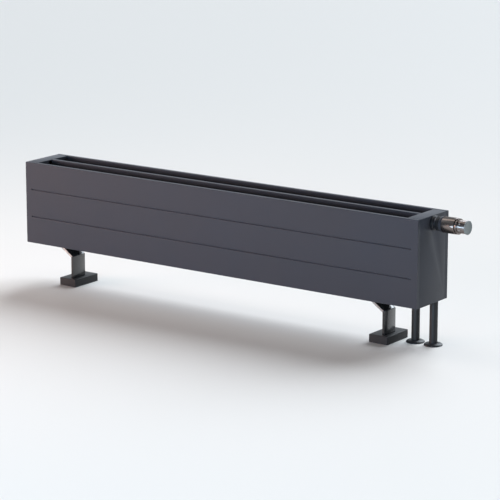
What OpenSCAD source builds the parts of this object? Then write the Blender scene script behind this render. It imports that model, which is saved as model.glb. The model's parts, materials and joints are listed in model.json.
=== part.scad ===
// Low floor-standing convector of flat steel tubes, with a thermostatic valve on its right end.
// Millimetres. X runs along the casing to the valve end, Y from front to back, Z up from the floor.
// The origin is on the floor, under the middle of the whole part, thermostatic head included.

/* [Casing] */
// Length of the casing
casing_l = 1200; // [900:50:2000]
// Height of the underside above the floor
floor_gap = 110; // [100:1:160]
// Height of one flat tube
tube_h = 70; // [66:1:80]
// Thickness of one flat tube, front to back
tube_t = 11; // [10:0.5:13]
// Wall of the flat tubes and the headers
tube_wall = 1.5; // [1:0.1:1.8]
// Corner radius of the flat tubes
tube_r = 2; // [2:0.1:3]
// Gap between two tubes of one layer
tube_gap = 2; // [1.9:0.1:4]
// Clear depth between two layers, where the fins are
layer_gap = 51.5; // [50:0.5:60]
// Width of the upright header at each end of a layer
header_w = 18; // [14:1:19]
// Radius of the short tubes that join the layers
cross_r = 8; // [6:0.5:9]

/* [Fins] */
// Distance between two folds of the fin sheet
fin_pitch = 10; // [8:1:20]
// Thickness of the fin sheet
fin_t = 0.5; // [0.4:0.1:0.8]
// How far the fins stay below the top of each tube
fin_drop = 15; // [10:1:20]
// How far the fins stay above the bottom of each tube
fin_lift = 5; // [4:1:12]
// Length at each end that has no fins
fin_end_clear = 85; // [83:1:110]

/* [End covers] */
// Width of the closed strip on top of each end
strip_w = 35; // [34:0.5:40]
// Sheet thickness of the end covers
cover_t = 1.5; // [1:0.1:2]
// Play around an end cover
cover_play = 0.3; // [0.2:0.05:0.5]
// Depth of the folded edges of an end cover
cover_flange = 12; // [10:0.5:13]
// Height of a cover clip
clip_h = 15; // [10:1:25]
// Thickness of the leaf of a cover clip
clip_t = 1.2; // [0.8:0.1:1.5]

/* [Feet] */
// Distance from the end of the casing to the middle of a foot post
foot_inset = 117.5; // [116:0.5:125]
// Width of the post strip, front to back
post_w = 49.5; // [44:0.5:52]
// Thickness of the post strip
post_t = 6; // [5:0.5:7]
// How far the middle of the post stands in front of the middle of the casing
post_forward = 3; // [0:0.5:6]
// Height from the fold of the post up to the underside of the casing
fold_drop = 32; // [30:0.5:34]
// Slope of the wing above the fold, in degrees
wing_slope = 34; // [32:0.5:38]
// Length of the level flange at the end of the wing
flange_l = 30; // [26:1:34]
// Radius of the two folds of the post, on the outside
fold_r = 3.5; // [3:0.25:5]
// Width of the foot cover
foot_w = 53; // [46:0.5:56]
// Depth of the foot cover
foot_l = 92; // [88:1:110]
// Height of the foot cover
foot_h = 20; // [15:0.1:24]
// Wall of the foot cover
foot_wall = 1.5; // [1:0.1:2]
// How far the middle of the foot lies to the left of the post
foot_left = 9; // [6:0.5:10]
// How far the middle of the foot lies behind the post
foot_back = 13; // [10:0.5:14]
// Thickness of the floor plate
plate_t = 5; // [4:0.5:6]
// Radius of a hole for a floor screw
screw_r = 4.5; // [3:0.25:5]
// Distance between the two floor screws of a foot
screw_spacing = 64; // [50:1:74]
// Thickness of the saddle bar
saddle_t = 2.5; // [2:0.1:3]
// Thickness of a rubber pad on the saddle
pad_t = 1; // [0.8:0.1:1.5]
// Width of a clamp hook
hook_w = 16; // [12:1:17]
// Thickness of a clamp hook
hook_t = 3; // [2:0.25:4]
// Thickness of the lip at the top of a clamp hook
lip_t = 1.6; // [1.2:0.1:1.7]
// Radius of the threaded stud of a clamp hook
stud_r = 3; // [2.5:0.25:3]

/* [Pipes] */
// Distance between the supply pipe and the return pipe
pipe_spacing = 50; // [50:1:52]
// Distance from the end of the casing to the supply pipe
pipe_inset = 13.5; // [13.4:0.1:15]
// Outer radius of a pipe
pipe_r = 7.5; // [6:0.25:8.5]
// Wall of a pipe
pipe_wall = 1; // [0.8:0.1:1.5]
// Clear space between a pipe and its sleeve
sleeve_gap = 0.5; // [0.3:0.1:1.5]
// Wall of a sleeve
sleeve_wall = 2; // [1:0.1:2.5]
// How far a sleeve reaches up into the casing
sleeve_rise = 8; // [6:0.5:12]
// Outer radius of a floor rosette
rosette_r = 22.5; // [20:0.5:24]
// Height of a floor rosette
rosette_h = 6; // [4:0.5:9]
// Width across the flats of a pipe nut
nut_af = 22; // [21.4:0.1:23]
// Height of a pipe nut
nut_h = 20; // [18:0.5:24]
// Height of the return branch above the underside of the casing
branch_rise = 52; // [50:1:55]

/* [Valve] */
// Depth of the valve axis below the top of the casing
valve_drop = 18; // [17:0.25:24]
// Outer radius of the valve body
valve_r = 13.5; // [12:0.25:14]
// Radius of the connecting thread behind the thermostatic head
neck_r = 14.9; // [14:0.1:15]
// Radius of the valve pin
pin_r = 2.5; // [2:0.1:3]
// Travel of the valve pin, closed to open
pin_travel = 3.5; // [2:0.1:4]

/* [Thermostatic head] */
// Radius of the cover ring and of the head nut
collar_r = 17.5; // [17.2:0.1:19]
// Length of the cover ring
ring_l = 8.5; // [6:0.25:10]
// Length of the head nut
head_nut_l = 9; // [8:0.25:14]
// Length of the collar at the base of the head
base_l = 5; // [4:0.5:8]
// Radius of the chrome shell of the head
head_r = 19.5; // [18:0.25:22]
// Length of the chrome shell of the head
head_l = 34.5; // [29:0.5:45]
// Radius of the rim of the handwheel
rim_r = 19; // [18:0.25:21]
// Length of the rim of the handwheel
rim_l = 4; // [3:0.25:8]
// Number of finger grooves around the rim
rim_grooves = 12; // [8:1:20]
// Radius of the chrome sleeve of the handwheel
wheel_r = 15.3; // [15:0.1:16.4]
// Length of the chrome sleeve beyond the rim
wheel_l = 20; // [16:0.5:30]
// Radius of the end cap
cap_r = 16.5; // [16.4:0.1:18]
// Thickness of the end cap
cap_l = 3.5; // [2:0.25:6]

/* [Air vent] */
// Outer radius of the vent boss and of the vent plug
vent_r = 9.5; // [8.5:0.25:10.5]
// Radius of the bleed screw
bleed_r = 2.5; // [2:0.1:3]

/* [Hidden] */
$fn = 64;

// Clearances and small allowances
thread_play = 0.05;
run_play = 0.08;
close_play = 0.1;
slide_play = 0.3;
slot_play = 0.6;
past = 1;

// The casing: three layers of three tubes
FRONT = -1;
MIDDLE = 0;
REAR = 1;
LEFT = -1;
RIGHT = 1;
BOTTOM_ROW = 0;
MIDDLE_ROW = 1;
TOP_ROW = 2;
layer_pitch = tube_t + layer_gap;
row_pitch = tube_h + tube_gap;
casing_h = 3 * tube_h + 2 * tube_gap;
casing_d = 3 * tube_t + 2 * layer_gap;
casing_top = floor_gap + casing_h;
half_l = casing_l / 2;
tube_face = tube_t / 2;
flat_w = tube_t - 2 * tube_r;
slot_end = half_l - strip_w;
outer_layer_end = half_l;
middle_layer_end = slot_end - cover_play;
cross_clear = 2;
cross_x = half_l - fin_end_clear + cross_r + cross_clear;
water_r = cross_r - tube_wall;

// The head along the valve axis, as distances from the end face of the casing
ring_gap = 5;
nut_gap = 0.5;
base_gap = 3;
waist_gap = 2.5;
nut_start = ring_l + ring_gap;
nut_end = nut_start + head_nut_l;
head_start = nut_end + nut_gap;
shell_start = head_start + base_l + base_gap;
head_end = shell_start + head_l;
wheel_start = head_end + waist_gap;
wheel_end = wheel_start + rim_l + wheel_l;
head_reach = wheel_end + cap_l;
casing_x = -head_reach / 2;

// Valve and vent
axis_z = casing_top - valve_drop;
port_r = tube_face - tube_wall - 0.5;
seat_wall = 3;
seat_gap = 0.25;
disc_t = 3;
disc_r = 6.5;
body_back = 3;
body_wall = 3.5;
body_end = half_l - body_back;
body_bore = valve_r - body_wall;
shoulder_l = 6;
shoulder_r = valve_r - 0.1;
insert_thread_l = 12;
insert_l = 24;
lip_l = 1.5;
base_flange_l = 2;
neck_start = body_end + shoulder_l;
neck_end = half_l + nut_end - lip_l - base_flange_l;
insert_nose = neck_start - insert_l;
seat_face = middle_layer_end + seat_wall;
disc_x = seat_face + pin_travel / 2 + seat_gap;
gland_r = 6;
gland_l = 8;
gland_proud = 1;
pin_proud = 3;
pin_tip = neck_end + gland_proud + pin_proud;
lip_h = 2.3;
nut_lip_r = neck_r - lip_h;
insert_nose_r = gland_r + 1;
head_wall = 2;
edge = 1;
rod_r = pin_r + 0.9;
rod_l = 10;
hub_r = 10;
hub_lip = 3;
retainer_l = 2.5;
core_wall = 2;
sensor_r = 12;
sensor_l = 18;
sensor_flange = 3;
shell_bore = head_r - head_wall;
plug_l = 3.5;
vent_back = 12;
vent_wall = 3;
vent_boss_end = half_l - vent_back;
vent_thread_r = vent_r - vent_wall;
vent_thread_l = 12;
vent_head_l = 8;
vent_hole_r = vent_r + 1.5;

// Pipes, in the middle of the rear fin space
pipe_y = tube_face + layer_gap / 2;
supply_x = half_l - pipe_inset;
return_x = supply_x - pipe_spacing;
sleeve_bore = pipe_r + sleeve_gap;
sleeve_r = sleeve_bore + sleeve_wall;
nut_lift = 6;
nut_base = floor_gap + sleeve_rise + nut_lift;
nut_floor = 6;
seal_t = 2;
pipe_past_floor = 4;
pipe_top = nut_base + nut_floor + pipe_past_floor;
tail_start = pipe_top + seal_t;
tail_wall = 1.45;
tail_thread_r = pipe_r + tail_wall;
tail_socket_wall = 2.5;
tail_r = pipe_r + tail_socket_wall;
tail_gap = 2;
tail_neck = nut_base + nut_h + tail_gap;
tail_collar_l = 8;
tail_shoulder = tail_neck + tail_collar_l;
socket_l = 12;
branch_z = floor_gap + branch_rise;
pipe_bore = pipe_r - pipe_wall;

// Feet
half_post = post_t / 2;
inner_fold_r = 1;
bend_steps = 6;
saddle_top = floor_gap - pad_t;
flange_top = saddle_top - saddle_t;
flange_under = flange_top - post_t;
fold_z = floor_gap - fold_drop;
corner_z = fold_z + half_post * tan((90 - wing_slope) / 2);
wing_run = (flange_top - corner_z) / tan(wing_slope);
flange_start = half_post - wing_run;
saddle_shift = flange_start - flange_l / 2;
hook_y = tube_face + slide_play + hook_t / 2;
hook_clear = 2;
saddle_front = -post_forward - post_w / 2;
saddle_inset = 2;
saddle_back = casing_d / 2 - saddle_inset;
pad_edge = 2;
washer_t = 1.2;
washer_r = 2 * stud_r;
clamp_nut_h = 5;
clamp_nut_af = 3.4 * stud_r;
stud_proud = 2;

function layer_y(layer) = layer * layer_pitch;
function row_z(row) = floor_gap + row * row_pitch;
function foot_x(side) = side * (half_l - foot_inset);
function saddle_x(side) = foot_x(side) + saddle_shift;
function layer_end(layer) = layer == MIDDLE ? middle_layer_end : outer_layer_end;

module painted() { color([0.27, 0.29, 0.33]) children(); }
module dark_paint() { color([0.13, 0.13, 0.14]) children(); }
module black_plastic() { color([0.08, 0.08, 0.09]) children(); }
module chromed() { color([0.78, 0.78, 0.80]) children(); }
module brass() { color([0.72, 0.58, 0.32]) children(); }
module plain_steel() { color([0.55, 0.56, 0.58]) children(); }
module gray_plastic() { color([0.34, 0.35, 0.38]) children(); }
module pale_plastic() { color([0.70, 0.74, 0.72]) children(); }
module rubber() { color([0.10, 0.10, 0.10]) children(); }

// Everything is drawn about the middle of the casing and moved into the part's frame here
module placed() { translate([casing_x, 0, 0]) children(); }

// A rectangle with round corners, centred
module round_rect(w, h, r) {
  square([w - 2 * r, h], center = true);
  square([w, h - 2 * r], center = true);
  for (sx = [-1, 1], sy = [-1, 1]) translate([sx * (w / 2 - r), sy * (h / 2 - r)]) circle(r = r);
}

// A section given in Y and Z, extruded along X
module along_x(x0, x1) { translate([x0, 0, 0]) rotate([90, 0, 90]) linear_extrude(x1 - x0) children(); }

// An outline given in X and Z, extruded along Y
module along_y(y0, y1) { translate([0, y1, 0]) rotate([90, 0, 0]) linear_extrude(y1 - y0) children(); }

module rod_x(r, x0, x1) { translate([x0, 0, 0]) rotate([0, 90, 0]) cylinder(r = r, h = x1 - x0); }
module rod_y(r, y0, y1) { translate([0, y0, 0]) rotate([-90, 0, 0]) cylinder(r = r, h = y1 - y0); }
module ring_z(r, bore, z0, z1) {
  difference() {
    translate([0, 0, z0]) cylinder(r = r, h = z1 - z0);
    translate([0, 0, z0 - past]) cylinder(r = bore, h = z1 - z0 + 2 * past);
  }
}

// A part turned about the valve axis: points are [distance along X, radius]
module turned(points) {
  translate([0, 0, axis_z]) rotate([0, 90, 0]) rotate_extrude() polygon([for (p = points) [p[1], p[0]]]);
}

module box(low, high) { translate(low) cube(high - low); }

// Flat tubes
module tube_outer(layer, row) {
  translate([layer_y(layer), row_z(row) + tube_h / 2]) round_rect(tube_t, tube_h, tube_r);
}

module tube_bore(layer, row) {
  translate([layer_y(layer) - tube_face + tube_wall, row_z(row) + tube_wall])
    square([tube_t - 2 * tube_wall, tube_h - 2 * tube_wall]);
}

module cross_port(layer, row) {
  for (side = [LEFT, RIGHT], face = [-1, 1]) if (abs(layer + face) <= 1)
    translate([side * cross_x, layer_y(layer) + face * tube_face, row_z(row) + tube_h / 2])
      rod_y(water_r, -2 * tube_wall, 2 * tube_wall);
}

module flat_tube(layer, row) {
  end = layer_end(layer) - header_w;
  painted() difference() {
    along_x(-end, end) tube_outer(layer, row);
    along_x(-end - past, end + past) tube_bore(layer, row);
    if (row != BOTTOM_ROW) cross_port(layer, row);
    if (layer == MIDDLE && row == BOTTOM_ROW)
      translate([return_x, tube_face, branch_z]) rod_y(pipe_bore, -2 * tube_wall, 2 * tube_wall);
  }
}

// Upright headers that close the ends of a layer
module header(layer, side) {
  end = layer_end(layer);
  y = layer_y(layer);
  mirror([side == LEFT ? 1 : 0, 0, 0]) painted() difference() {
    along_x(end - header_w, end)
      translate([y, floor_gap + casing_h / 2]) round_rect(tube_t, casing_h, tube_r);
    box([end - header_w + tube_wall, y - tube_face + tube_wall, floor_gap + tube_wall],
        [end - tube_wall, y + tube_face - tube_wall, casing_top - tube_wall]);
    for (row = [BOTTOM_ROW, MIDDLE_ROW, TOP_ROW])
      along_x(end - header_w - past, end - header_w + 2 * tube_wall) tube_bore(layer, row);
    if (layer == MIDDLE) translate([0, 0, axis_z]) rod_x(port_r, end - 2 * tube_wall, end + past);
  }
}

// Short tubes that join the layers at both ends
module cross_tubes() {
  painted() for (side = [LEFT, RIGHT], gap = [-1, 1], row = [MIDDLE_ROW, TOP_ROW])
    translate([side * cross_x, gap * layer_pitch / 2, row_z(row) + tube_h / 2]) difference() {
      rod_y(cross_r, -layer_gap / 2, layer_gap / 2);
      rod_y(water_r, -layer_gap / 2 - past, layer_gap / 2 + past);
    }
}

// Fin sheet: one strip folded to and fro between two layers, as a closed outline
fin_half = half_l - fin_end_clear;
fin_legs = 2 * floor(fin_half / fin_pitch);
fin_start = -fin_legs * fin_pitch / 2;
half_fin = fin_t / 2;
fin_near = half_fin;
fin_far = layer_gap - half_fin;

function leg_x(i) = fin_start + i * fin_pitch;
function leg_lean(i) = i % 2 == 0 ? -half_fin : half_fin;
function leg_from(i) = i % 2 == 0 ? fin_near : fin_far;
function leg_to(i) = i % 2 == 0 ? fin_far : fin_near;
function fold_y(i, second, s) = (second ? leg_to(i) : leg_from(i)) + s * half_fin;
function leg_y(i, second, s) =
  i == 0 && !second ? 0 : i == fin_legs && second ? layer_gap : fold_y(i, second, s);
function fin_side(s) = [
  for (i = [0 : fin_legs], second = [false, true]) [leg_x(i) + s * leg_lean(i), leg_y(i, second, s)]
];
function backwards(list) = [for (i = [len(list) - 1 : -1 : 0]) list[i]];

module fin_strip(gap, row) {
  y = gap == REAR ? tube_face : -tube_face - layer_gap;
  translate([0, y, row_z(row) + fin_lift]) linear_extrude(tube_h - fin_lift - fin_drop)
    polygon(concat(fin_side(1), backwards(fin_side(-1))));
}

module front_fins() { painted() for (row = [BOTTOM_ROW, MIDDLE_ROW, TOP_ROW]) fin_strip(FRONT, row); }

module hook_room() {
  room = hook_w / 2 + hook_clear;
  for (side = [LEFT, RIGHT])
    box([saddle_x(side) - room, -past, floor_gap - past],
        [saddle_x(side) + room, tube_face + layer_gap + past, row_z(MIDDLE_ROW)]);
}

module rear_fins() {
  painted() {
    difference() {
      fin_strip(REAR, BOTTOM_ROW);
      hook_room();
    }
    for (row = [MIDDLE_ROW, TOP_ROW]) fin_strip(REAR, row);
  }
}

// End covers: a folded sheet set in between the front and rear layers
cover_y = layer_pitch - tube_face - cover_play;
flange_y = cover_y - cover_t;
strip_lip = 10;
flange_lift = 10;
valve_clear = 1.5;
clip_clear = 2;
clip_foot_l = 10;

module end_cover(side) {
  opening_r = side == RIGHT ? neck_r + slot_play : vent_hole_r;
  mirror([side == LEFT ? 1 : 0, 0, 0]) painted() difference() {
    union() {
      box([half_l - cover_t, -cover_y, floor_gap], [half_l, cover_y, casing_top]);
      box([slot_end, -cover_y, casing_top - cover_t], [half_l, cover_y, casing_top]);
      box([slot_end, -cover_y, casing_top - strip_lip], [slot_end + cover_t, cover_y, casing_top]);
      for (s = [0, 1]) mirror([0, s, 0])
        box([half_l - cover_flange, flange_y, floor_gap + flange_lift], [half_l, cover_y, casing_top]);
    }
    translate([0, 0, axis_z]) rod_x(opening_r, half_l - cover_t - past, half_l + past);
    box([slot_end - past, -valve_r - valve_clear, casing_top - strip_lip - past],
        [slot_end + cover_t + past, valve_r + valve_clear, casing_top - cover_t]);
  }
}

// Spring clips on the outer tubes that grip the folded edges of the covers
module cover_clips() {
  foot_end = half_l - header_w - clip_clear;
  leaf_end = half_l - 2 * clip_clear;
  leaf_y = flange_y - close_play;
  plain_steel() for (sx = [0, 1], sy = [0, 1], row = [BOTTOM_ROW, TOP_ROW])
    mirror([sx, 0, 0]) mirror([0, sy, 0]) translate([0, 0, row_z(row) + tube_h / 2 - clip_h / 2]) {
      box([foot_end - clip_foot_l, leaf_y - clip_t, 0], [foot_end, layer_pitch - tube_face, clip_h]);
      box([foot_end - clip_foot_l, leaf_y - clip_t, 0], [leaf_end, leaf_y, clip_h]);
    }
}

// Air vent at the left end, on the same height as the valve
module vent_boss() {
  thread_hole_r = vent_thread_r + thread_play;
  thread_end = vent_boss_end - vent_thread_l - past;
  mirror([1, 0, 0]) plain_steel() turned([
    [middle_layer_end, port_r], [middle_layer_end, vent_r], [vent_boss_end, vent_r],
    [vent_boss_end, thread_hole_r], [thread_end, thread_hole_r], [thread_end, port_r]
  ]);
}

vent_face = vent_boss_end + vent_head_l;
bleed_head_h = 1.8;
bleed_head_r = bleed_r + bleed_head_h;
bleed_sunk = 4;
bleed_seat = vent_face - bleed_sunk;

module vent_plug() {
  mirror([1, 0, 0]) brass() turned([
    [vent_boss_end - vent_thread_l, bleed_r + run_play], [vent_boss_end - vent_thread_l, vent_thread_r],
    [vent_boss_end, vent_thread_r], [vent_boss_end, vent_r], [vent_face, vent_r],
    [vent_face, bleed_head_r + slide_play], [bleed_seat, bleed_head_r + slide_play],
    [bleed_seat, bleed_r + run_play]
  ]);
}

module bleed_screw() {
  tip_back = 3;
  head_t = 2.5;
  key_proud = 2;
  tip = vent_boss_end - vent_thread_l + tip_back;
  head_top = bleed_seat + head_t;
  mirror([1, 0, 0]) brass() {
    turned([
      [tip, 0], [tip, bleed_r], [bleed_seat, bleed_r], [bleed_seat, bleed_head_r], [head_top, bleed_head_r],
      [head_top, 0]
    ]);
    box([head_top, -bleed_r, axis_z - bleed_r], [vent_face + key_proud, bleed_r, axis_z + bleed_r]);
  }
}

// Valve body: a barrel on the end of the middle layer with a branch down to the riser
module valve_body() {
  riser_end = axis_z - tail_r;
  brass() difference() {
    union() {
      turned([[middle_layer_end, 0], [middle_layer_end, valve_r], [body_end, valve_r], [body_end, 0]]);
      translate([supply_x, 0, axis_z]) rod_y(tail_r, 0, pipe_y);
      translate([supply_x, pipe_y, riser_end - socket_l]) cylinder(r = tail_r, h = socket_l + 2 * tail_r);
    }
    turned([[seat_face, 0], [seat_face, body_bore], [body_end + past, body_bore], [body_end + past, 0]]);
    turned([[middle_layer_end - past, 0], [middle_layer_end - past, port_r], [seat_face + past, port_r],
            [seat_face + past, 0]]);
    translate([supply_x, 0, axis_z]) rod_y(pipe_bore, 0, pipe_y);
    translate([supply_x, pipe_y, riser_end - socket_l - past])
      cylinder(r = pipe_r + thread_play, h = socket_l + past);
    translate([supply_x, pipe_y, riser_end - past]) cylinder(r = pipe_bore, h = tail_r + past);
  }
}

module riser_tube() {
  plain_steel() translate([supply_x, pipe_y, 0])
    ring_z(pipe_r, pipe_bore, tail_shoulder, axis_z - tail_r);
}

// Valve insert: screwed into the body, with the thread that carries the head
module valve_insert() {
  brass() turned([
    [insert_nose, pin_r + run_play], [insert_nose, insert_nose_r],
    [body_end - insert_thread_l, insert_nose_r], [body_end - insert_thread_l, body_bore - thread_play],
    [body_end, body_bore - thread_play], [body_end, shoulder_r], [neck_start, shoulder_r],
    [neck_start, neck_r], [neck_end, neck_r],
    [neck_end, gland_r + thread_play], [neck_end - gland_l, gland_r + thread_play],
    [neck_end - gland_l, pin_r + run_play]
  ]);
}

module gland_nut() {
  brass() turned([
    [neck_end - gland_l, pin_r + run_play], [neck_end - gland_l, gland_r], [neck_end + gland_proud, gland_r],
    [neck_end + gland_proud, pin_r + run_play]
  ]);
}

module valve_pin() {
  plain_steel() turned([
    [disc_x, 0], [disc_x, disc_r], [disc_x + disc_t, disc_r], [disc_x + disc_t, pin_r], [pin_tip, pin_r],
    [pin_tip, 0]
  ]);
}

// Black ring that covers the hole in the right end cover
module cover_ring() {
  ring_end = half_l + ring_l;
  bore = neck_r + 2 * close_play;
  black_plastic() turned([
    [half_l, bore], [half_l, collar_r], [ring_end - edge, collar_r], [ring_end, collar_r - edge],
    [ring_end, bore]
  ]);
}

// Union nut that holds the head on the valve insert
module head_nut() {
  x0 = half_l + nut_start;
  x1 = half_l + nut_end;
  black_plastic() turned([
    [x0, neck_r + close_play], [x0, collar_r - edge], [x0 + edge, collar_r], [x1 - edge, collar_r],
    [x1, collar_r - edge], [x1, nut_lip_r], [x1 - lip_l, nut_lip_r], [x1 - lip_l, neck_r + close_play]
  ]);
}

// Base of the head: a flanged spigot in the head nut, a collar, and a plug in the shell
module head_base() {
  flange_face = neck_end + slide_play;
  flange_end = half_l + nut_end - lip_l;
  flange_r = neck_r - 0.4;
  spigot_r = nut_lip_r - slide_play;
  x0 = half_l + head_start;
  x1 = half_l + shell_start + plug_l;
  collar_end = x0 + base_l;
  base_r = head_r - edge;
  plug_r = shell_bore - thread_play;
  rod_bore = rod_r + run_play;
  gray_plastic() turned([
    [flange_face, insert_nose_r], [flange_face, flange_r], [flange_end, flange_r], [flange_end, spigot_r],
    [x0, spigot_r], [x0, base_r - edge], [x0 + edge, base_r], [collar_end, base_r], [collar_end, plug_r],
    [x1, plug_r], [x1, rod_bore], [x0 - nut_gap, rod_bore], [x0 - nut_gap, insert_nose_r]
  ]);
}

// Chrome shell around the sensor
module head_shell() {
  x0 = half_l + shell_start;
  x1 = half_l + head_end;
  bevel = 1.5;
  hub_hole = hub_r + run_play;
  chromed() turned([
    [x0, shell_bore], [x0, head_r - edge], [x0 + edge, head_r], [x1 - bevel, head_r],
    [x1, head_r - bevel], [x1, hub_hole], [x1 - hub_lip, hub_hole], [x1 - hub_lip, shell_bore]
  ]);
}

// Liquid sensor and the rod that it pushes
sensor_start = pin_tip + rod_l + pin_travel / 2 + slide_play;

module sensor() {
  plain_steel() turned([
    [sensor_start, 0], [sensor_start, sensor_r], [sensor_start + sensor_l - sensor_flange, sensor_r],
    [sensor_start + sensor_l - sensor_flange, shell_bore - thread_play],
    [sensor_start + sensor_l, shell_bore - thread_play], [sensor_start + sensor_l, 0]
  ]);
}

module push_rod() {
  plain_steel() turned([[pin_tip, 0], [pin_tip, rod_r], [pin_tip + rod_l, rod_r], [pin_tip + rod_l, 0]]);
}

// Handwheel: a plastic core on a hub, a chrome sleeve with a grooved rim, and an end cap
chrome_wall = 1.1;
waist_depth = 2.5;
hub_wall = 3;
retainer_h = 2;
core_r = wheel_r - chrome_wall;
core_bore = core_r - core_wall;
waist_r = head_r - waist_depth;
hub_bore = hub_r - hub_wall;

module handwheel_core() {
  hub_end = half_l + head_end - hub_lip - slide_play;
  waist_start = half_l + head_end + slide_play;
  rim_start = half_l + wheel_start;
  x1 = half_l + wheel_end;
  retainer_r = hub_r + retainer_h;
  black_plastic() turned([
    [hub_end - retainer_l, hub_bore], [hub_end - retainer_l, retainer_r], [hub_end, retainer_r],
    [hub_end, hub_r], [waist_start, hub_r], [waist_start, waist_r], [rim_start, waist_r],
    [rim_start, core_r], [x1, core_r], [x1, core_bore], [rim_start + core_wall, core_bore],
    [rim_start + core_wall, hub_bore]
  ]);
}

module handwheel_sleeve() {
  x0 = half_l + wheel_start;
  rim_end = x0 + rim_l;
  x1 = half_l + wheel_end;
  bevel = 0.7;
  groove_r = 1.2;
  chromed() difference() {
    turned([
      [x0, core_r + thread_play], [x0, rim_r - bevel], [x0 + bevel, rim_r], [rim_end - bevel, rim_r],
      [rim_end, rim_r - bevel], [rim_end, wheel_r], [x1, wheel_r], [x1, core_r + thread_play]
    ]);
    for (i = [0 : rim_grooves - 1]) translate([0, 0, axis_z]) rotate([i * 360 / rim_grooves, 0, 0])
      translate([0, 0, rim_r + groove_r / 2]) rod_x(groove_r, x0 - past, rim_end + past);
  }
}

module end_cap() {
  x0 = half_l + wheel_end;
  x1 = half_l + head_reach;
  bevel = 0.6;
  spigot_l = 6;
  spigot_r = core_bore - thread_play;
  pale_plastic() turned([
    [x0 - spigot_l, 0], [x0 - spigot_l, spigot_r], [x0, spigot_r], [x0, cap_r - bevel], [x0 + bevel, cap_r],
    [x1 - bevel, cap_r], [x1, cap_r - bevel], [x1, 0]
  ]);
}

// Pipes, their sleeves and floor rosettes
module water_pipe(x) { plain_steel() translate([x, pipe_y, 0]) ring_z(pipe_r, pipe_bore, 0, pipe_top); }
module pipe_sleeve(x) {
  dark_paint() translate([x, pipe_y, 0]) ring_z(sleeve_r, sleeve_bore, 0, floor_gap + sleeve_rise);
}

module rosette(x) {
  bore = sleeve_r + slide_play;
  flat_w = 2;
  flat_end = bore + flat_w;
  dome_w = rosette_r - flat_end;
  rim_h = 1.5;
  dark_paint() translate([x, pipe_y, 0]) rotate_extrude() polygon([
    [bore, 0], [rosette_r, 0],
    for (a = [0 : 15 : 90]) [flat_end + dome_w * cos(a), rim_h + (rosette_h - rim_h) * sin(a)],
    [bore, rosette_h]
  ]);
}

// Pipe nuts and the conical seals inside them
module pipe_nuts() {
  plain_steel() for (x = [supply_x, return_x]) translate([x, pipe_y, nut_base]) difference() {
    rotate([0, 0, 30]) cylinder(r = nut_af / 2 / cos(30), h = nut_h, $fn = 6);
    translate([0, 0, -past]) cylinder(r = pipe_r + close_play, h = nut_h);
    translate([0, 0, nut_floor]) cylinder(r = tail_thread_r + thread_play, h = nut_h);
  }
}

module cone_seals() {
  rubber() for (x = [supply_x, return_x]) translate([x, pipe_y, 0])
    ring_z(tail_thread_r - 2 * close_play, pipe_bore, pipe_top, tail_start);
}

module supply_tail() {
  plain_steel() translate([supply_x, pipe_y, 0]) {
    ring_z(tail_thread_r, pipe_bore, tail_start, tail_neck);
    ring_z(tail_r, pipe_bore, tail_neck, tail_shoulder);
    ring_z(tail_r, pipe_r + thread_play, tail_shoulder, tail_shoulder + socket_l);
  }
}

module return_tail() {
  top = branch_z + tail_r;
  plain_steel() translate([return_x, pipe_y, 0]) difference() {
    union() {
      translate([0, 0, tail_start]) cylinder(r = tail_thread_r, h = tail_neck - tail_start);
      translate([0, 0, tail_neck]) cylinder(r = tail_r, h = top - tail_neck);
      translate([0, 0, branch_z]) rod_y(pipe_r + 1, tube_face - pipe_y, 0);
    }
    translate([0, 0, tail_start - past]) cylinder(r = pipe_bore, h = branch_z - tail_start + past);
    translate([0, 0, branch_z]) rod_y(pipe_bore, tube_face - pipe_y - past, 0);
  }
}

// Feet
plate_w = foot_w - 2 * foot_wall - slot_play;
plate_l = foot_l - 2 * foot_wall - slot_play;
function base_x(side) = foot_x(side) - foot_left;
base_y = -post_forward + foot_back;
screw_x = -foot_left / 2 - half_post;

module foot_plate(side) {
  plain_steel() translate([base_x(side), base_y, 0]) difference() {
    translate([-plate_w / 2, -plate_l / 2, 0]) cube([plate_w, plate_l, plate_t]);
    for (s = [-1, 1]) translate([screw_x, s * screw_spacing / 2, -past])
      cylinder(r = screw_r, h = plate_t + 2 * past);
  }
}

// Rounds one corner of an outline: the points of an arc that touches both of its sides
function heading(p, q) = atan2(q[1] - p[1], q[0] - p[0]);
function bend(before, corner, after, r) =
  let (
    way = heading(before, corner),
    turn = (heading(corner, after) - way + 540) % 360 - 180,
    side = sign(turn),
    back = r * tan(abs(turn) / 2),
    centre = [corner[0] - back * cos(way) - side * r * sin(way),
              corner[1] - back * sin(way) + side * r * cos(way)]
  )
  [for (i = [0 : bend_steps]) let (a = way + turn * i / bend_steps)
    [centre[0] + side * r * sin(a), centre[1] - side * r * cos(a)]];

// Post: an upright strip, folded into a sloping wing and a level flange under the casing
module foot_post(side) {
  inner_z = fold_z - half_post * tan((90 - wing_slope) / 2);
  inner_run = (flange_under - inner_z) / tan(wing_slope);
  flange_end = flange_start - flange_l;
  foot_right = [half_post, plate_t];
  foot_left_edge = [-half_post, plate_t];
  low_out = [half_post, corner_z];
  low_in = [-half_post, inner_z];
  high_out = [-half_post - inner_run, flange_under];
  high_in = [flange_start, flange_top];
  end_top = [flange_end, flange_top];
  end_under = [flange_end, flange_under];
  dark_paint() translate([foot_x(side), -post_forward, 0]) difference() {
    along_y(-post_w / 2, post_w / 2) polygon(concat(
      [foot_right], bend(foot_right, low_out, high_in, fold_r),
      bend(low_out, high_in, end_top, inner_fold_r),
      [end_top, end_under], bend(end_under, high_out, low_in, fold_r),
      bend(high_out, low_in, foot_left_edge, inner_fold_r), [foot_left_edge]
    ));
    translate([saddle_shift, hook_y + post_forward, flange_under - past])
      cylinder(r = stud_r + slide_play, h = post_t + 2 * past);
  }
}

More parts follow.
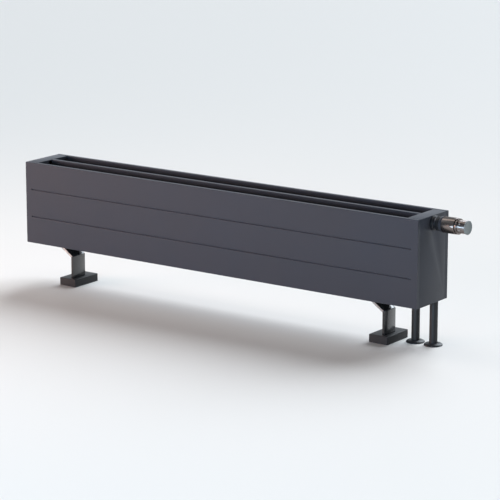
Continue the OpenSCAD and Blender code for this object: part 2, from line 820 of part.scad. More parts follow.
module foot_cover(side) {
  slot_w = post_t + slot_play * 2;
  slot_l = post_w + slot_play * 2;
  dark_paint() difference() {
    translate([base_x(side) - foot_w / 2, base_y - foot_l / 2, 0]) cube([foot_w, foot_l, foot_h]);
    translate([base_x(side) - foot_w / 2 + foot_wall, base_y - foot_l / 2 + foot_wall, -past])
      cube([foot_w - 2 * foot_wall, foot_l - 2 * foot_wall, foot_h - foot_wall + past]);
    translate([foot_x(side) - slot_w / 2, -post_forward - slot_l / 2, 0])
      cube([slot_w, slot_l, foot_h + past]);
  }
}

module saddle(side) {
  dark_paint() translate([saddle_x(side), 0, 0]) difference() {
    box([-flange_l / 2, saddle_front, flange_top], [flange_l / 2, saddle_back, saddle_top]);
    translate([0, hook_y, flange_top - past]) cylinder(r = stud_r + slide_play, h = saddle_t + 2 * past);
  }
}

module saddle_pads() {
  rubber() for (side = [LEFT, RIGHT], layer = [MIDDLE, REAR])
    box([saddle_x(side) - flange_l / 2 + pad_edge, layer_y(layer) - flat_w / 2, saddle_top],
        [saddle_x(side) + flange_l / 2 - pad_edge, layer_y(layer) + flat_w / 2, floor_gap]);
}

// Clamp hooks reach into the gap above the bottom tube of the middle layer and pull it down
module clamp_hooks() {
  tube_top = row_z(BOTTOM_ROW) + tube_h;
  half_w = hook_w / 2;
  back = hook_y + hook_t / 2;
  foot = saddle_top + slide_play;
  stud_end = flange_under - washer_t - clamp_nut_h - stud_proud;
  plain_steel() for (side = [LEFT, RIGHT]) translate([saddle_x(side), 0, 0]) {
    box([-half_w, hook_y - hook_t / 2, foot], [half_w, back, tube_top + lip_t]);
    box([-half_w, -flat_w / 2 + 0.5, tube_top], [half_w, back, tube_top + lip_t]);
    translate([0, hook_y, stud_end]) cylinder(r = stud_r, h = foot - stud_end);
  }
}

module clamp_nuts() {
  plain_steel() for (side = [LEFT, RIGHT]) translate([saddle_x(side), hook_y, 0]) {
    ring_z(washer_r, stud_r + close_play, flange_under - washer_t, flange_under);
    translate([0, 0, flange_under - washer_t - clamp_nut_h]) difference() {
      cylinder(r = clamp_nut_af / 2 / cos(30), h = clamp_nut_h, $fn = 6);
      translate([0, 0, -past]) cylinder(r = stud_r + close_play, h = clamp_nut_h + 2 * past);
    }
  }
}

placed() flat_tube(FRONT, BOTTOM_ROW);  // front_tube_bottom
placed() flat_tube(FRONT, MIDDLE_ROW);  // front_tube_middle
placed() flat_tube(FRONT, TOP_ROW);  // front_tube_top
placed() flat_tube(MIDDLE, BOTTOM_ROW);  // middle_tube_bottom
placed() flat_tube(MIDDLE, MIDDLE_ROW);  // middle_tube_middle
placed() flat_tube(MIDDLE, TOP_ROW);  // middle_tube_top
placed() flat_tube(REAR, BOTTOM_ROW);  // rear_tube_bottom
placed() flat_tube(REAR, MIDDLE_ROW);  // rear_tube_middle
placed() flat_tube(REAR, TOP_ROW);  // rear_tube_top
placed() header(FRONT, LEFT);  // front_header_left
placed() header(FRONT, RIGHT);  // front_header_right
placed() header(MIDDLE, LEFT);  // middle_header_left
placed() header(MIDDLE, RIGHT);  // middle_header_right
placed() header(REAR, LEFT);  // rear_header_left
placed() header(REAR, RIGHT);  // rear_header_right
placed() cross_tubes();
placed() front_fins();
placed() rear_fins();
placed() end_cover(LEFT);  // left_end_cover
placed() end_cover(RIGHT);  // right_end_cover
placed() cover_clips();
placed() vent_boss();
placed() vent_plug();
placed() bleed_screw();
placed() valve_body();
placed() riser_tube();
placed() valve_insert();
placed() gland_nut();
placed() valve_pin();
placed() cover_ring();
placed() head_nut();
placed() head_base();
placed() head_shell();
placed() sensor();
placed() push_rod();
placed() handwheel_core();
placed() handwheel_sleeve();
placed() end_cap();
placed() supply_tail();
placed() return_tail();
placed() pipe_nuts();
placed() cone_seals();
placed() water_pipe(supply_x);  // supply_pipe
placed() water_pipe(return_x);  // return_pipe
placed() pipe_sleeve(supply_x);  // supply_sleeve
placed() pipe_sleeve(return_x);  // return_sleeve
placed() rosette(supply_x);  // supply_rosette
placed() rosette(return_x);  // return_rosette
placed() foot_plate(LEFT);  // left_foot_plate
placed() foot_post(LEFT);  // left_foot_post
placed() foot_cover(LEFT);  // left_foot_cover
placed() saddle(LEFT);  // left_saddle
placed() foot_plate(RIGHT);  // right_foot_plate
placed() foot_post(RIGHT);  // right_foot_post
placed() foot_cover(RIGHT);  // right_foot_cover
placed() saddle(RIGHT);  // right_saddle
placed() saddle_pads();
placed() clamp_hooks();
placed() clamp_nuts();
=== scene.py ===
"""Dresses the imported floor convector: finishes, finer pieces, floor, light and camera."""
import json
import math

import bmesh
import bpy
from mathutils import Matrix, Vector

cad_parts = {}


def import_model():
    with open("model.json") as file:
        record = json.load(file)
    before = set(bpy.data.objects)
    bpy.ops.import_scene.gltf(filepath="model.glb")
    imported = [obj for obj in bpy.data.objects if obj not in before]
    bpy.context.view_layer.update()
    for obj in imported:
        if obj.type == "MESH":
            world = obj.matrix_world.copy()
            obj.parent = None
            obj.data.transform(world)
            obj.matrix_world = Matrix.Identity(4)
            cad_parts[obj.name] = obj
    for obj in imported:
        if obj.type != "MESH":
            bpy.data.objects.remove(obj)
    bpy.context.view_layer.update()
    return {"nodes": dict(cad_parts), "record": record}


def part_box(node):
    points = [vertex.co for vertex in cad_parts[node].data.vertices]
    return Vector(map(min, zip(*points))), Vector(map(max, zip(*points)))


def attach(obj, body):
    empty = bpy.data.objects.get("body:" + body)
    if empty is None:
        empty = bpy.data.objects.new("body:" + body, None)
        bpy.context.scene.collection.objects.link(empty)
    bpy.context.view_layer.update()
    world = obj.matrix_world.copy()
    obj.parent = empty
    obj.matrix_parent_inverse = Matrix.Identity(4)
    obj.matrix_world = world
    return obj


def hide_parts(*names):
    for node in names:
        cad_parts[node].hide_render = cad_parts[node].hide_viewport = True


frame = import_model()

MM = 0.001
NODES = frame["nodes"]
CASING_BODY = "convector"

# Camera, fitted to the corners of the casing
PICTURE_SIDE = 500
FOCAL_PIXELS = 2398.68
SENSOR = 36.0
CAMERA_PLACE = (3.41, -4.69605, 1.53006)
CAMERA_YAW = math.radians(35.802)
CAMERA_PITCH = math.radians(13.242)


# Places and sizes, all taken from the frame
def low(node):
    return Vector(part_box(node)[0])


def high(node):
    return Vector(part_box(node)[1])


def middle(node):
    return (low(node) + high(node)) / 2


def radius(node):
    """Half the height of a piece that is round about the valve axis."""
    return (high(node).z - low(node).z) / 2


AXIS_Z = middle("head_shell").z

# Distances that count as none
SAME_PLACE = 0.002 * MM
NO_LENGTH = 0.001 * MM
ON_FOLD = 0.01 * MM

# Finishes; nearly all of a noise pattern lies between these two values
NOISE_LOW = 0.35
NOISE_HIGH = 0.65


def map_range(tree, value, limits):
    """Adds a node that spreads value over another range: from low, from high, to low, to high."""
    spread = tree.nodes.new("ShaderNodeMapRange")
    for socket, number in zip(("From Min", "From Max", "To Min", "To Max"), limits):
        spread.inputs[socket].default_value = number
    tree.links.new(value, spread.inputs["Value"])
    return spread.outputs["Result"]


class Finish:
    """A node material: one Principled shader, with patterns that read the Object coordinates."""

    def __init__(self, name, colour, roughness, metallic=0.0, ior=1.5):
        self.material = bpy.data.materials.new(name)
        self.material.use_nodes = True
        self.tree = self.material.node_tree
        self.shader = self.tree.nodes["Principled BSDF"]
        self.colour = colour
        self.set("Base Color", (*colour, 1))
        self.set("Roughness", roughness)
        self.set("Metallic", metallic)
        self.set("IOR", ior)
        self.place = self.add("ShaderNodeTexCoord").outputs["Object"]
        self.height = None

    def add(self, kind, **settings):
        node = self.tree.nodes.new(kind)
        for name, value in settings.items():
            setattr(node, name, value)
        return node

    def set(self, socket, value):
        self.shader.inputs[socket].default_value = value

    def join(self, output, socket):
        self.tree.links.new(output, socket)

    def stretched(self, scale):
        mapping = self.add("ShaderNodeMapping")
        mapping.inputs["Scale"].default_value = scale
        self.join(self.place, mapping.inputs["Vector"])
        return mapping.outputs["Vector"]

    def noise(self, scale, detail=3.0, stretch=None):
        """Noise with that many grains a metre, from 0 to 1."""
        noise = self.add("ShaderNodeTexNoise")
        noise.inputs["Scale"].default_value = scale
        noise.inputs["Detail"].default_value = detail
        self.join(self.stretched(stretch) if stretch else self.place, noise.inputs["Vector"])
        return noise.outputs["Fac"]

    def spread(self, value, low_out, high_out):
        """A noise value, spread over low_out to high_out."""
        return map_range(self.tree, value, (NOISE_LOW, NOISE_HIGH, low_out, high_out))

    def tint(self, value, other, share):
        """Lets the colour drift towards another one, by up to share, where value is high."""
        mix = self.add("ShaderNodeMix", data_type="RGBA")
        mix.inputs["A"].default_value = (*self.colour, 1)
        mix.inputs["B"].default_value = (*other, 1)
        self.join(self.spread(value, 0, share), mix.inputs["Factor"])
        self.join(mix.outputs["Result"], self.shader.inputs["Base Color"])

    def gloss(self, value, smoothest, roughest):
        self.join(self.spread(value, smoothest, roughest), self.shader.inputs["Roughness"])

    def relief(self, value, depth):
        """Adds a relief of that depth in metres."""
        bump = self.add("ShaderNodeBump")
        bump.inputs["Distance"].default_value = depth
        self.join(value, bump.inputs["Height"])
        if self.height:
            self.join(self.height, bump.inputs["Normal"])
        self.height = bump.outputs["Normal"]
        self.join(self.height, self.shader.inputs["Normal"])


def powder_coat(name, colour, cloud_colour, roughness, sheen):
    """Baked powder coat: fine orange peel, slightly uneven gloss and a faint drift of tone."""
    finish = Finish(name, colour, roughness)
    finish.set("Specular IOR Level", sheen)
    finish.tint(finish.noise(3.0, detail=4), cloud_colour, 0.6)
    finish.gloss(finish.noise(14.0, detail=5), roughness - 0.04, roughness + 0.05)
    finish.relief(finish.noise(420.0, detail=2), 0.00006)
    return finish.material


def moulded(name, colour, cloud_colour, roughness):
    """Moulded plastic with a fine spark-eroded grain."""
    finish = Finish(name, colour, roughness, ior=1.46)
    finish.tint(finish.noise(60.0), cloud_colour, 0.5)
    finish.gloss(finish.noise(900.0), roughness - 0.05, roughness + 0.08)
    finish.relief(finish.noise(2600.0, detail=2), 0.00003)
    return finish.material


def turned_metal(name, colour, cloud_colour, roughness, glance=(1, 1, 1)):
    """Bare or plated metal with fine tool marks; glance tints its glancing reflections."""
    finish = Finish(name, colour, roughness, metallic=1.0)
    finish.set("Specular Tint", (*glance, 1))
    finish.tint(finish.noise(45.0, detail=4), cloud_colour, 0.4)
    finish.gloss(finish.noise(160.0, detail=4), roughness - 0.02, roughness + 0.03)
    finish.relief(finish.noise(3000.0, detail=1, stretch=(1, 0.05, 0.05)), 0.00001)
    return finish.material


def soft_rubber(name, colour):
    finish = Finish(name, colour, 0.75)
    finish.gloss(finish.noise(300.0), 0.65, 0.85)
    finish.relief(finish.noise(1500.0), 0.00004)
    return finish.material


def printed_ink(name, colour):
    finish = Finish(name, colour, 0.5)
    finish.gloss(finish.noise(2000.0), 0.42, 0.6)
    return finish.material


CASING = powder_coat("anthracite_paint", (0.056, 0.062, 0.078), (0.062, 0.062, 0.071), 0.34,
                     sheen=0.12)
# Fins: their own black paint, darkened further as painted shade deep in the slots
FIN_PAINT_AND_SLOT_SHADE = powder_coat("fin_paint", (0.007, 0.008, 0.01), (0.006, 0.007, 0.008), 0.5, sheen=0.2)
DARK = powder_coat("dark_foot_paint", (0.022, 0.021, 0.022), (0.028, 0.0265, 0.026), 0.2,
                   sheen=0.95)
COVER = powder_coat("foot_cover_paint", (0.041, 0.04, 0.041), (0.046, 0.044, 0.045), 0.4,
                    sheen=0.1)
DARK_PLASTIC = moulded("dark_moulding", (0.022, 0.021, 0.023), (0.028, 0.027, 0.029), 0.48)
CHROME = turned_metal("black_chrome", (0.26, 0.23, 0.217), (0.21, 0.18, 0.167), 0.23,
                      glance=(0.6, 0.57, 0.56))
STEEL = turned_metal("zinc_plated_steel", (0.42, 0.42, 0.43), (0.34, 0.34, 0.33), 0.38)
BRASS = turned_metal("plain_brass", (0.56, 0.42, 0.19), (0.42, 0.29, 0.12), 0.32)
NICKEL = turned_metal("nickel_plate", (0.16, 0.16, 0.18), (0.12, 0.12, 0.14), 0.3)
BLACK_PLASTIC = moulded("black_moulding", (0.012, 0.012, 0.014), (0.018, 0.018, 0.02), 0.42)
GRAY_PLASTIC = moulded("gray_moulding", (0.045, 0.045, 0.056), (0.04, 0.04, 0.048), 0.4)
PALE_PLASTIC = moulded("pale_moulding", (0.22, 0.25, 0.25), (0.2, 0.23, 0.23), 0.4)
RUBBER = soft_rubber("rubber", (0.02, 0.02, 0.02))
WHITE_INK = printed_ink("white_ink", (0.8, 0.8, 0.8))

SLOT_FINISH = {
    "casing_paint": CASING, "fin_paint": FIN_PAINT_AND_SLOT_SHADE, "dark_paint": DARK, "plain_steel": STEEL,
    "brass": BRASS, "black_plastic": BLACK_PLASTIC, "gray_plastic": GRAY_PLASTIC,
    "pale_plastic": PALE_PLASTIC, "chrome": CHROME, "rubber": RUBBER,
}
NODE_FINISH = {"valve_insert": NICKEL, "vent_plug": NICKEL, "bleed_screw": BRASS}


def finish_cad_nodes():
    slots = {part["node"]: part["material_slot"] for part in frame["record"]["subparts"]}
    for name, node in NODES.items():
        node.data.materials.clear()
        node.data.materials.append(NODE_FINISH.get(name, SLOT_FINISH[slots[name]]))


finish_cad_nodes()


# Mesh helpers
def rounded(mesh, edges, width, segments, clamped=False):
    """Rounds the edges over that width."""
    bmesh.ops.bevel(mesh, geom=edges, offset=width, segments=segments, profile=0.5,
                    affect="EDGES", material=-1, clamp_overlap=clamped)


def sharp_edges(mesh, degrees):
    least = math.radians(degrees)
    return [e for e in mesh.edges if e.is_manifold and e.calc_face_angle(0) > least]


def piece(name, mesh, body, material, replaced=(), bevel=0.0, segments=2, crease=35):
    """Turns a bmesh into a finished piece that rides on its body and replaces those nodes."""
    if bevel:
        rounded(mesh, sharp_edges(mesh, crease), bevel, segments, clamped=True)
    bmesh.ops.remove_doubles(mesh, verts=mesh.verts, dist=SAME_PLACE)
    bmesh.ops.recalc_face_normals(mesh, faces=mesh.faces)
    data = bpy.data.meshes.new(name)
    mesh.to_mesh(data)
    mesh.free()
    data.materials.append(material)
    data.shade_smooth()
    data.set_sharp_from_angle(angle=math.radians(crease))
    made = bpy.data.objects.new(name, data)
    bpy.context.scene.collection.objects.link(made)
    if replaced:
        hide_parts(*replaced)
    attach(made, body)


def turned(outline, axis, centre, steps=96):
    """A bmesh turned about an axis; outline is (distance along it, radius), round the section."""
    mesh = bmesh.new()
    along = Vector(axis)
    out = Vector((0, 0, 1)) if abs(along.z) < 0.5 else Vector((1, 0, 0))
    points = [mesh.verts.new(along * distance + out * r) for distance, r in outline]
    edges = [mesh.edges.new(pair) for pair in zip(points, points[1:] + points[:1])]
    bmesh.ops.spin(mesh, geom=points + edges, cent=(0, 0, 0), axis=along, angle=2 * math.pi,
                   steps=steps, use_merge=True, use_duplicate=False)
    bmesh.ops.remove_doubles(mesh, verts=mesh.verts, dist=SAME_PLACE)
    bmesh.ops.dissolve_degenerate(mesh, edges=mesh.edges, dist=NO_LENGTH)
    bmesh.ops.translate(mesh, verts=mesh.verts, vec=centre)
    bmesh.ops.recalc_face_normals(mesh, faces=mesh.faces)
    return mesh


def about_valve(outline, steps=96):
    return turned(outline, (1, 0, 0), (0, 0, AXIS_Z), steps)


def block(lowest, highest):
    mesh = bmesh.new()
    bmesh.ops.create_cube(mesh, size=1)
    size = Vector(highest) - Vector(lowest)
    bmesh.ops.scale(mesh, vec=size, verts=mesh.verts)
    bmesh.ops.translate(mesh, vec=(Vector(lowest) + Vector(highest)) / 2, verts=mesh.verts)
    return mesh


def cut(mesh, place, normal):
    """Splits every face along a plane, and keeps both sides."""
    geometry = mesh.verts[:] + mesh.edges[:] + mesh.faces[:]
    bmesh.ops.bisect_plane(mesh, geom=geometry, plane_co=place, plane_no=normal, dist=NO_LENGTH)


def softened(node, width):
    """A copy of a CAD node with its sharp edges rounded."""
    mesh = bmesh.new()
    mesh.from_mesh(NODES[node].data)
    bmesh.ops.remove_doubles(mesh, verts=mesh.verts, dist=0.005 * MM)
    bmesh.ops.dissolve_limit(mesh, angle_limit=math.radians(1), verts=mesh.verts, edges=mesh.edges)
    bmesh.ops.recalc_face_normals(mesh, faces=mesh.faces)
    rounded(mesh, sharp_edges(mesh, degrees=50), width, segments=4, clamped=True)
    return mesh


def turn_angle(face):
    """Where a face lies round the valve axis, in turns from 0 to 1."""
    centre = face.calc_center_median()
    return (math.atan2(centre.z - AXIS_Z, centre.y) / (2 * math.pi)) % 1


def faces_out(mesh, x0, x1, least_radius):
    """The faces of a turned bmesh that look outwards between two distances."""
    found = []
    for face in mesh.faces:
        centre = face.calc_center_median()
        out = Vector((0, centre.y, centre.z - AXIS_Z))
        looks_out = face.normal.dot(out.normalized()) > 0.9
        if x0 < centre.x < x1 and out.length > least_radius and looks_out:
            found.append(face)
    return found


# Thermostatic head
SLEEVE_R = 15.3 * MM
INDEX_TURN = math.pi - math.radians(5)
NUMBER_STEP = math.radians(60)
NUMBER_AT_REST = 2.5


def grooved(mesh, x0, x1, least_radius, grooves, share, width, depth):
    """Sinks evenly spaced stretches of a turned surface; width is that of their sloping sides."""
    outer = faces_out(mesh, x0, x1, least_radius)
    chosen = [f for f in outer if (turn_angle(f) * grooves) % 1 < share]
    bmesh.ops.inset_region(mesh, faces=chosen, thickness=width, depth=-depth, use_even_offset=True)


def cover_ring():
    x0, x1 = low("cover_ring").x, high("cover_ring").x
    r, bore = radius("cover_ring"), radius("valve_insert") + 0.2 * MM
    slant = 1.4 * MM
    mesh = about_valve([(x0, bore), (x0, r), (x1 - slant, r), (x1, r - slant), (x1, bore)])
    piece("cover_ring_moulding", mesh, CASING_BODY, BLACK_PLASTIC, ["cover_ring"],
          bevel=0.35 * MM)


def head_nut():
    x0, x1 = low("head_nut").x, high("head_nut").x
    r, bore = radius("head_nut"), radius("valve_insert") + 0.1 * MM
    slant, past_slant = 0.8 * MM, 0.9 * MM
    mesh = about_valve([(x0, bore), (x0, r - slant), (x0 + slant, r), (x1 - slant, r),
                        (x1, r - slant), (x1, bore)], steps=144)
    grooved(mesh, x0 + past_slant, x1 - past_slant, r * 0.9, grooves=36, share=0.5,
            width=0.25 * MM, depth=0.35 * MM)
    piece("head_nut_ribbed", mesh, CASING_BODY, BLACK_PLASTIC, ["head_nut"])


def head_shell():
    x0, x1 = low("head_shell").x, high("head_shell").x
    r = radius("head_shell")
    hub_r = 10.1 * MM
    wall = 2 * MM
    mesh = about_valve([(x0, r - wall), (x0, r), (x1, r), (x1, hub_r), (x1 - wall, hub_r),
                        (x1 - wall, r - wall)], steps=128)
    piece("head_shell_chrome", mesh, CASING_BODY, CHROME, ["head_shell"],
          bevel=1.1 * MM, segments=4)


def handwheel_sleeve():
    x0, x1 = low("handwheel_sleeve").x, high("handwheel_sleeve").x
    rim_r = radius("handwheel_sleeve")
    rim_end = x0 + 4 * MM
    bore = SLEEVE_R - 1.05 * MM
    mesh = about_valve([(x0, bore), (x0, rim_r), (rim_end, rim_r), (rim_end, SLEEVE_R),
                        (x1, SLEEVE_R), (x1, bore)], steps=144)
    grooved(mesh, x0, rim_end, SLEEVE_R * 1.1, grooves=12, share=0.34,
            width=0.4 * MM, depth=0.6 * MM)
    piece("handwheel_sleeve_chrome", mesh, "handwheel", CHROME, ["handwheel_sleeve"],
          bevel=0.35 * MM)


def end_cap():
    x1 = high("end_cap").x
    x0 = high("handwheel_sleeve").x
    r = radius("end_cap")
    plug_r, plug_end = 12 * MM, x0 - 5 * MM
    dish_r, dish_floor_r, dish_floor = r - 2.2 * MM, r - 2.8 * MM, x1 - 0.5 * MM
    mesh = about_valve([(plug_end, 0), (plug_end, plug_r), (x0, plug_r), (x0, r), (x1, r),
                        (x1, dish_r), (dish_floor, dish_floor_r), (dish_floor, 0)])
    piece("end_cap_moulding", mesh, "handwheel", PALE_PLASTIC, ["end_cap"],
          bevel=0.4 * MM)


def on_cylinder(mesh, r, turn):
    """Bends a flat drawing in the XY plane round the valve axis, where its X already is right."""
    for vert in mesh.verts:
        angle = turn - vert.co.y / r
        rise = vert.co.z
        vert.co.y = (r + rise) * math.cos(angle)
        vert.co.z = AXIS_Z + (r + rise) * math.sin(angle)


def index_mark():
    """White pointer on the front edge of the shell that the numbers are read against."""
    r = radius("head_shell")
    tip = high("head_shell").x - 1.3 * MM
    length, half_base = 8 * MM, 2.5 * MM
    mesh = block((tip - length, -half_base, -0.05 * MM), (tip, half_base, 0.08 * MM))
    far_end = [v for v in mesh.verts if v.co.x < tip - length / 2]
    bmesh.ops.scale(mesh, verts=far_end, vec=(1, 0.25, 1))
    bmesh.ops.subdivide_edges(mesh, edges=mesh.edges[:], cuts=3, use_grid_fill=True)
    on_cylinder(mesh, r, INDEX_TURN)
    piece("index_mark", mesh, CASING_BODY, WHITE_INK)


def scale_numbers():
    """Numbers 0 to 5 round the sleeve, raised by a hair; 5 is at the pointer when fully open."""
    x = low("handwheel_sleeve").x + 9.5 * MM
    quarter = Matrix.Rotation(math.pi / 2, 3, "Z")
    for number in range(6):
        letter = bpy.data.curves.new(f"scale_{number}", "FONT")
        letter.body = str(number)
        letter.size = 6 * MM
        letter.extrude = 0.05 * MM
        letter.align_x = "CENTER"
        letter.align_y = "CENTER"
        holder = bpy.data.objects.new(f"scale_text_{number}", letter)
        bpy.context.scene.collection.objects.link(holder)
        flat = bpy.data.meshes.new_from_object(holder)
        mesh = bmesh.new()
        mesh.from_mesh(flat)
        bpy.data.objects.remove(holder)
        bpy.data.curves.remove(letter)
        bpy.data.meshes.remove(flat)
        bmesh.ops.rotate(mesh, verts=mesh.verts, cent=(0, 0, 0), matrix=quarter)
        bmesh.ops.translate(mesh, verts=mesh.verts, vec=(x, 0, 0))
        on_cylinder(mesh, SLEEVE_R, INDEX_TURN + NUMBER_STEP * (NUMBER_AT_REST - number))
        piece(f"scale_number_{number}", mesh, "handwheel", WHITE_INK)


cover_ring()
head_nut()
head_shell()
handwheel_sleeve()
end_cap()
index_mark()
scale_numbers()


# Folded end covers, with the soft edges of painted sheet
for side in ("left", "right"):
    piece(f"{side}_cover_folded", softened(f"{side}_end_cover", 1.4 * MM), CASING_BODY, CASING,
          [f"{side}_end_cover"], crease=40)


# Seams between the flat tubes of the two outer layers
SEAM_DEPTH = 2.8 * MM
SEAM_WALL = 1 * MM


def seams(layer, outer_y, inwards):
    """Painted strips sunk between three flat tubes."""
    mesh = bmesh.new()
    y = outer_y + inwards * (SEAM_DEPTH + SEAM_WALL / 2)
    for under, over in (("bottom", "middle"), ("middle", "top")):
        below, above = f"{layer}_tube_{under}", f"{layer}_tube_{over}"
        strip = bmesh.ops.create_cube(mesh, size=1)["verts"]
        size = (high(below).x - low(below).x, SEAM_WALL, low(above).z - high(below).z)
        bmesh.ops.scale(mesh, verts=strip, vec=size)
        place = (middle(below).x, y, (low(above).z + high(below).z) / 2)
        bmesh.ops.translate(mesh, verts=strip, vec=place)
    piece(f"{layer}_seams", mesh, CASING_BODY, CASING)


seams("front", low("front_tube_top").y, 1)
seams("rear", high("rear_tube_top").y, -1)


# Floor rosettes and sleeves
def about_pipe(node, outline):
    """A bmesh turned about the upright axis of a node."""
    centre = middle(node)
    return turned(outline, (0, 0, 1), (centre.x, centre.y, 0))


def half_width(node):
    return (high(node).x - low(node).x) / 2


def rosette(side):
    """Domed ring on the floor, with a small flat round the sleeve."""
    node = f"{side}_rosette"
    r, h = half_width(node), high(node).z
    bore = 10.3 * MM
    flat_end = bore + 1.2 * MM
    rim = 1.2 * MM
    turns = [math.radians(a) for a in range(0, 91, 9)]
    dome = [(rim + (h - rim) * math.sin(a), flat_end + (r - flat_end) * math.cos(a))
            for a in turns]
    mesh = about_pipe(node, [(0, bore), (0, r)] + dome + [(h, bore)])
    piece(f"{side}_rosette_dome", mesh, node, DARK_PLASTIC, [node],
          bevel=0.25 * MM)


def sleeve(side):
    """Tube round a pipe, with a rolled upper edge."""
    node = f"{side}_sleeve"
    r, top = half_width(node), high(node).z
    roll_r = 1 * MM
    turns = [math.radians(a) for a in range(0, 181, 20)]
    roll = [(top - roll_r + roll_r * math.sin(a), r - roll_r + roll_r * math.cos(a))
            for a in turns]
    mesh = about_pipe(node, [(0, r - 2 * roll_r), (0, r)] + roll)
    piece(f"{side}_sleeve_tube", mesh, CASING_BODY, DARK_PLASTIC, [node])


for side in ("supply", "return"):
    rosette(side)
    sleeve(side)


# Feet
POST_T = 6 * MM
FOLD_Z = 78 * MM
WING_SLOPE = math.radians(34)
OUTER_FOLD = 3.5 * MM
INNER_FOLD = 1 * MM
ARM_MARGIN = 0.8 * MM
ARM_END_MARGIN = 3 * MM
EDGE_SHEET = 0.2 * MM


def foot_post(side):
    """A flat bar folded twice: an upright, a sloping arm and a level flange."""
    node = f"{side}_foot_post"
    lowest, highest = low(node), high(node)
    half_turn = (math.pi / 2 - WING_SLOPE) / 2
    flare = POST_T / 2 * math.tan(half_turn)
    top_fold = Vector((highest.x, 0, FOLD_Z + flare))
    under_fold = Vector((highest.x - POST_T, 0, FOLD_Z - flare))
    flange_under = highest.z - POST_T
    top_end = top_fold.x - (highest.z - top_fold.z) / math.tan(WING_SLOPE)
    under_end = under_fold.x - (flange_under - under_fold.z) / math.tan(WING_SLOPE)
    section = [(highest.x, lowest.z), (top_fold.x, top_fold.z), (top_end, highest.z),
               (lowest.x, highest.z), (lowest.x, flange_under), (under_end, flange_under),
               (under_fold.x, under_fold.z), (under_fold.x, lowest.z)]
    mesh = bmesh.new()
    flat = mesh.faces.new([mesh.verts.new((x, lowest.y, z)) for x, z in section])
    raised = bmesh.ops.extrude_face_region(mesh, geom=[flat])["geom"]
    moved = [part for part in raised if isinstance(part, bmesh.types.BMVert)]
    bmesh.ops.translate(mesh, verts=moved, vec=(0, highest.y - lowest.y, 0))
    top_bend = Vector((top_end, 0, highest.z))
    under_bend = Vector((under_end, 0, flange_under))
    for fold, fold_r, turn in ((top_fold, OUTER_FOLD, half_turn),
                               (under_fold, INNER_FOLD, half_turn),
                               (top_bend, INNER_FOLD, WING_SLOPE / 2),
                               (under_bend, OUTER_FOLD, WING_SLOPE / 2)):
        near = {v for v in mesh.verts if math.hypot(v.co.x - fold.x, v.co.z - fold.z) < ON_FOLD}
        along = [e for e in mesh.edges if near.issuperset(e.verts)]
        rounded(mesh, along, fold_r * math.tan(turn), segments=8)
    piece(f"{side}_post_bar", mesh, CASING_BODY, DARK, [node],
          bevel=0.5 * MM, crease=50)
    # The sloping arm's edges get a painted highlight
    arm_edges(side, top_fold, under_fold, highest.z - POST_T / 2, (lowest.y, highest.y))


def arm_edges(side, top_fold, under_fold, arm_top, faces_y):
    """Bright steel strips on the arm's cut edges: a painted highlight beside the painted bar."""
    start = (top_fold + under_fold) / 2
    length = (arm_top - start.z) / math.sin(WING_SLOPE)
    size = (length - ARM_END_MARGIN, EDGE_SHEET, POST_T - 2 * ARM_MARGIN)
    slope = Matrix.Rotation(WING_SLOPE, 3, "Y")
    mesh = bmesh.new()
    for y in faces_y:
        strip = bmesh.ops.create_cube(mesh, size=1)["verts"]
        bmesh.ops.scale(mesh, verts=strip, vec=size)
        bmesh.ops.translate(mesh, verts=strip, vec=(-length / 2, 0, 0))
        bmesh.ops.rotate(mesh, verts=strip, cent=(0, 0, 0), matrix=slope)
        bmesh.ops.translate(mesh, verts=strip, vec=(start.x, y, start.z))
    # Painted highlight: the steel strips stand for the light along the arm's edges
    piece(f"{side}_arm_edges", mesh, CASING_BODY, STEEL)


def foot_cover(side):
    """A pressed cover, open below, with a slot for the post."""
    node = f"{side}_foot_cover"
    post = f"{side}_foot_post"
    lowest, highest = low(node), high(node)
    wall = 1.5 * MM
    play = 0.6 * MM
    slot_low = Vector((high(post).x - POST_T - play, low(post).y - play, 0))
    slot_high = Vector((high(post).x + play, high(post).y + play, 0))
    mesh = block(lowest, highest)
    upright = [e for e in mesh.edges if abs(e.verts[0].co.z - e.verts[1].co.z) > wall]
    rounded(mesh, upright, width=1.6 * MM, segments=5)
    rim = [e for f in mesh.faces if f.normal.z > 0.9 for e in f.edges]
    rounded(mesh, rim, width=1.2 * MM, segments=4)
    for normal in ((1, 0, 0), (0, 1, 0)):
        for place in (slot_low, slot_high):
            cut(mesh, place, normal)
    gone = []
    for face in mesh.faces:
        centre = face.calc_center_median()
        inside = slot_low.x < centre.x < slot_high.x and slot_low.y < centre.y < slot_high.y
        if face.normal.z < -0.9 or (inside and face.normal.z > 0.9):
            gone.append(face)
    bmesh.ops.delete(mesh, geom=gone, context="FACES")
    bmesh.ops.solidify(mesh, geom=mesh.faces[:] + mesh.edges[:] + mesh.verts[:], thickness=wall)
    piece(f"{side}_foot_cover_pressed", mesh, f"{side}_cover", COVER, [node],
          crease=30)


for side in ("left", "right"):
    foot_post(side)
    foot_cover(side)


# Floor, light and camera; the sky dims towards DIM_SIDE, and again towards FRONT_LEFT
FLOOR_REACH = 30
FLOOR_COLOUR = (0.80, 0.765, 0.725)
DIM_SIDE = Vector((0.66, 0, 0.75))
SKY_BRIGHT = 1.05
SKY_DIM = 0.05
FRONT_LEFT = Vector((-0.58, -0.80, 0.14))
FRONT_LEFT_SHARE = 0.25
NARROW = math.radians(80)


def floor():
    """Pale floor that takes the object's shadow."""
    mesh = bmesh.new()
    bmesh.ops.create_grid(mesh, x_segments=1, y_segments=1, size=FLOOR_REACH)
    data = bpy.data.meshes.new("studio_floor")
    mesh.to_mesh(data)
    mesh.free()
    data.materials.append(Finish("pale_floor", FLOOR_COLOUR, 0.6).material)
    made = bpy.data.objects.new("studio_floor", data)
    bpy.context.scene.collection.objects.link(made)


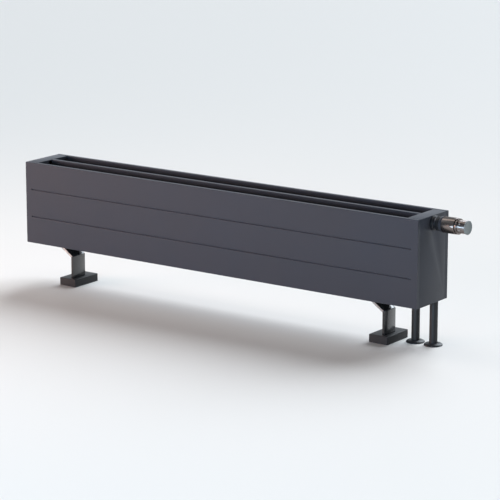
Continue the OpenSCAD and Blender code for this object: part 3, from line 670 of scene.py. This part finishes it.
def world():
    """Light from all around, dimmer towards the valve end, overhead and at the front left."""
    sky = bpy.data.worlds.new("studio")
    bpy.context.scene.world = sky
    sky.use_nodes = True
    nodes, links = sky.node_tree.nodes, sky.node_tree.links
    background = nodes["Background"]
    background.inputs["Color"].default_value = (0.86, 0.93, 1.0, 1)
    direction = nodes.new("ShaderNodeTexCoord").outputs["Generated"]

    def fade(way, *limits):
        """A factor that goes by how far a direction points that way; limits as in map_range."""
        facing = nodes.new("ShaderNodeVectorMath")
        facing.operation = "DOT_PRODUCT"
        facing.inputs[1].default_value = way
        links.new(direction, facing.inputs[0])
        return map_range(sky.node_tree, facing.outputs["Value"], limits)

    both = nodes.new("ShaderNodeMath")
    both.operation = "MULTIPLY"
    links.new(fade(DIM_SIDE, -0.6, 0.7, SKY_BRIGHT, SKY_DIM), both.inputs[0])
    links.new(fade(FRONT_LEFT, 0.78, 0.93, 1, FRONT_LEFT_SHARE), both.inputs[1])
    links.new(both.outputs["Value"], background.inputs["Strength"])


def soft_box(name, place, aim, size, power, colour, spread=math.pi):
    """A broad lamp; a narrow spread keeps its light off the floor beside it."""
    lamp = bpy.data.lights.new(name, "AREA")
    lamp.shape = "RECTANGLE"
    lamp.size, lamp.size_y = size
    lamp.energy = power
    lamp.spread = spread
    lamp.color = colour
    made = bpy.data.objects.new(name, lamp)
    made.location = place
    made.rotation_euler = (Vector(aim) - Vector(place)).to_track_quat("-Z", "Y").to_euler()
    bpy.context.scene.collection.objects.link(made)


def low_sun(azimuth, elevation, strength, softness, colour):
    """Broad daylight from behind; azimuth is the way the light goes, from +X towards +Y."""
    lamp = bpy.data.lights.new("daylight", "SUN")
    lamp.energy = strength
    lamp.angle = softness
    lamp.color = colour
    made = bpy.data.objects.new("daylight", lamp)
    level = math.cos(elevation)
    way = Vector((math.cos(azimuth) * level, math.sin(azimuth) * level, -math.sin(elevation)))
    made.rotation_euler = way.to_track_quat("-Z", "Y").to_euler()
    bpy.context.scene.collection.objects.link(made)


def camera():
    lens = bpy.data.cameras.new("camera")
    lens.sensor_width = SENSOR
    lens.lens = FOCAL_PIXELS * SENSOR / PICTURE_SIDE
    lens.clip_end = 100
    made = bpy.data.objects.new("camera", lens)
    made.location = CAMERA_PLACE
    made.rotation_euler = (math.pi / 2 - CAMERA_PITCH, 0, CAMERA_YAW)
    bpy.context.scene.collection.objects.link(made)
    bpy.context.scene.camera = made


floor()
world()
low_sun(azimuth=math.radians(-95), elevation=math.radians(42), strength=4.0,
        softness=math.radians(50), colour=(0.84, 0.92, 1.0))
soft_box("left_card", (-2.7, -2.4, 0.62), (-0.5, 0, 0.2), size=(2.0, 0.9), power=16,
         colour=(1.0, 0.66, 0.56), spread=NARROW)
soft_box("front_card", (0.9, -3.9, 0.62), (0.3, 0, 0.25), size=(2.2, 0.9), power=14,
         colour=(0.52, 0.76, 1.0), spread=NARROW)
soft_box("ceiling_card", (-0.5, 0, 1.9), (0.2, 0, 0.3), size=(0.6, 2.4), power=6,
         colour=(1.0, 0.9, 0.82))
camera()
bpy.context.scene.view_settings.view_transform = "Standard"
